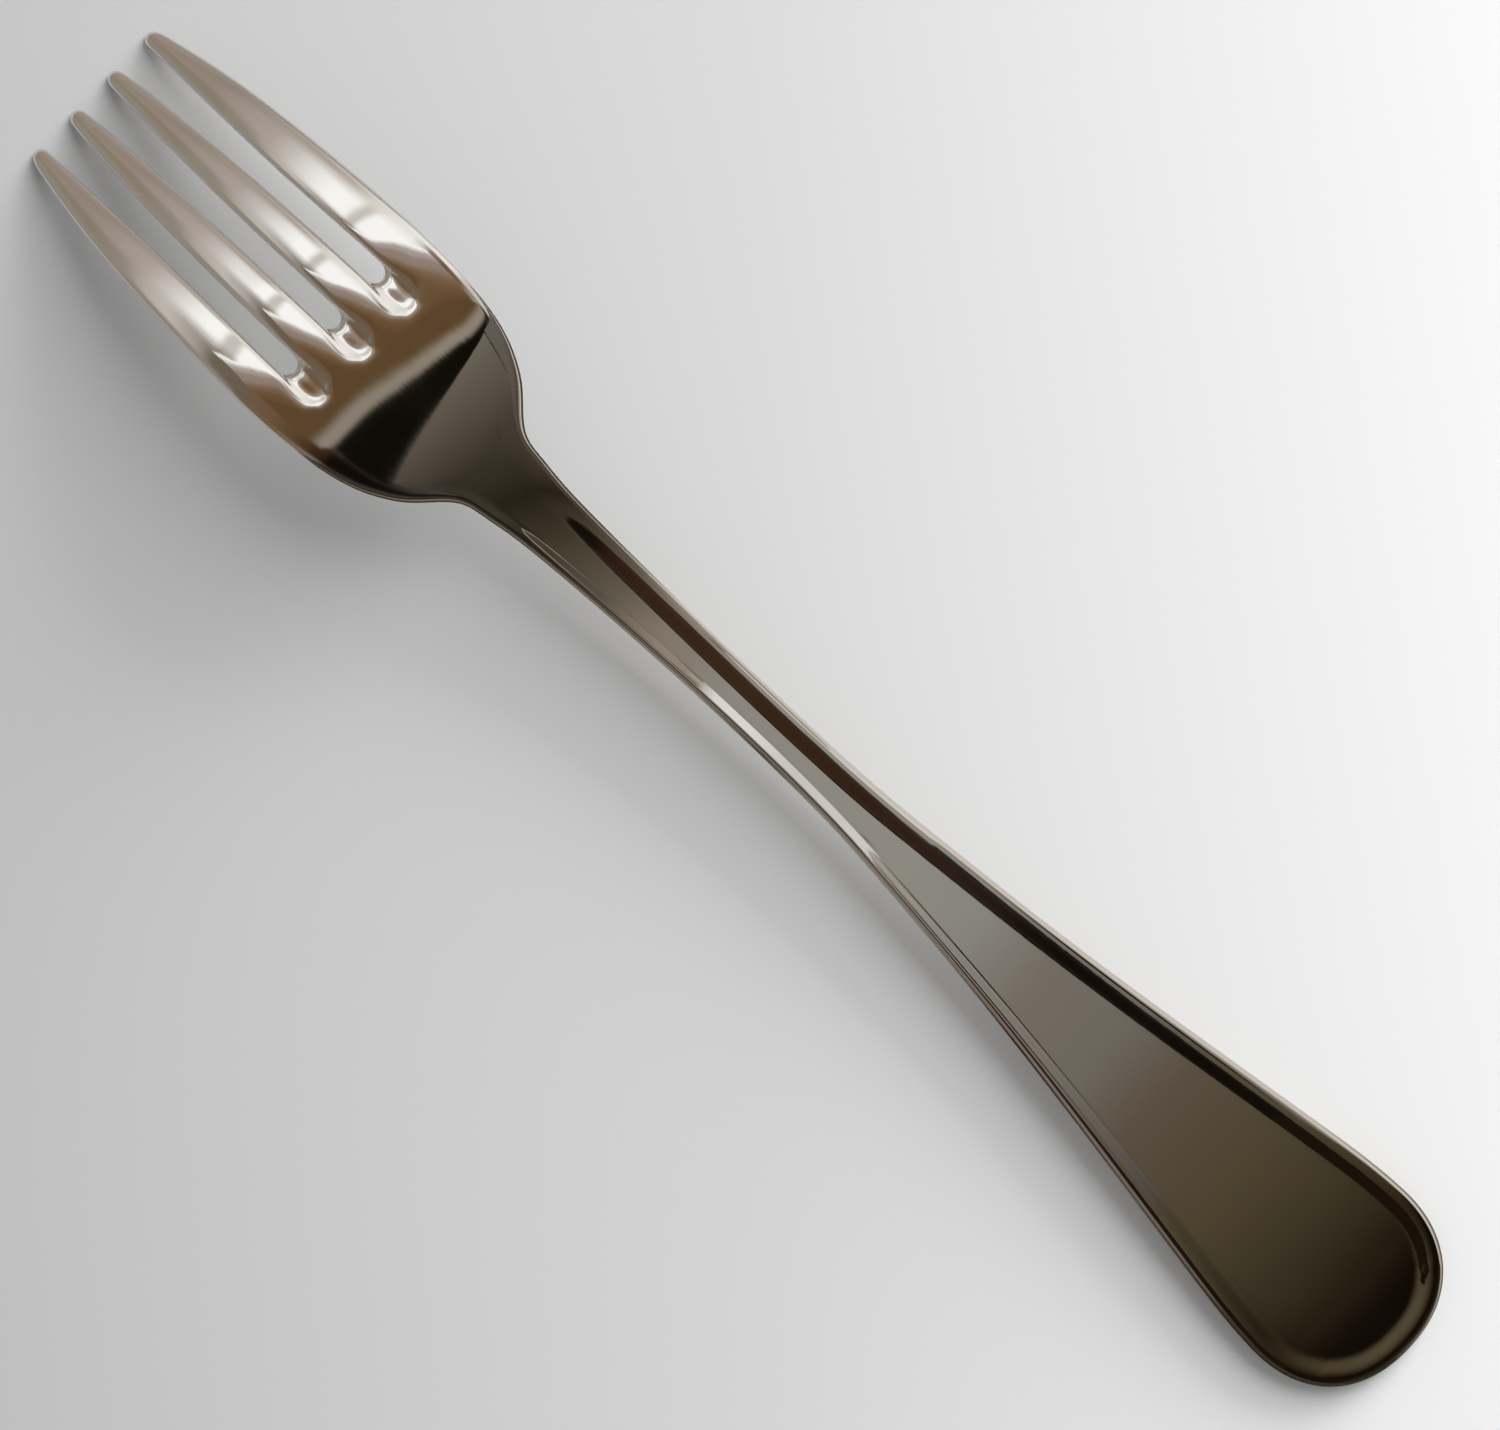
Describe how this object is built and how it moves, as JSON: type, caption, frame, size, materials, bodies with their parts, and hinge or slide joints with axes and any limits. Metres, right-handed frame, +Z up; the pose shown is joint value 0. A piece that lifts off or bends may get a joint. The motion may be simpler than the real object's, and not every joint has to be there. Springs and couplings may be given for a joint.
{
  "type": "dinner fork",
  "caption": "Dinner fork in polished steel, with curved tapering tines, a slender neck and a flared, round-ended handle with a raised border.",
  "frame": {"origin": "centre of the bounding box's footprint on the table, with the fork lying back up on its points and its handle's end", "axes": "+X along the fork towards the points, +Y across it, +Z up, out of the back of the head"},
  "size_m": [0.195, 0.026, 0.0162],
  "materials": {
    "polished_steel": "mirror-polished stainless steel with fine handling scratches"
  },
  "bodies": {
    "root": {"handle": "polished_steel", "neck": "polished_steel", "head_base": "polished_steel", "tine_1": "polished_steel", "tine_2": "polished_steel", "tine_3": "polished_steel", "tine_4": "polished_steel"}
  },
  "joints": []
}
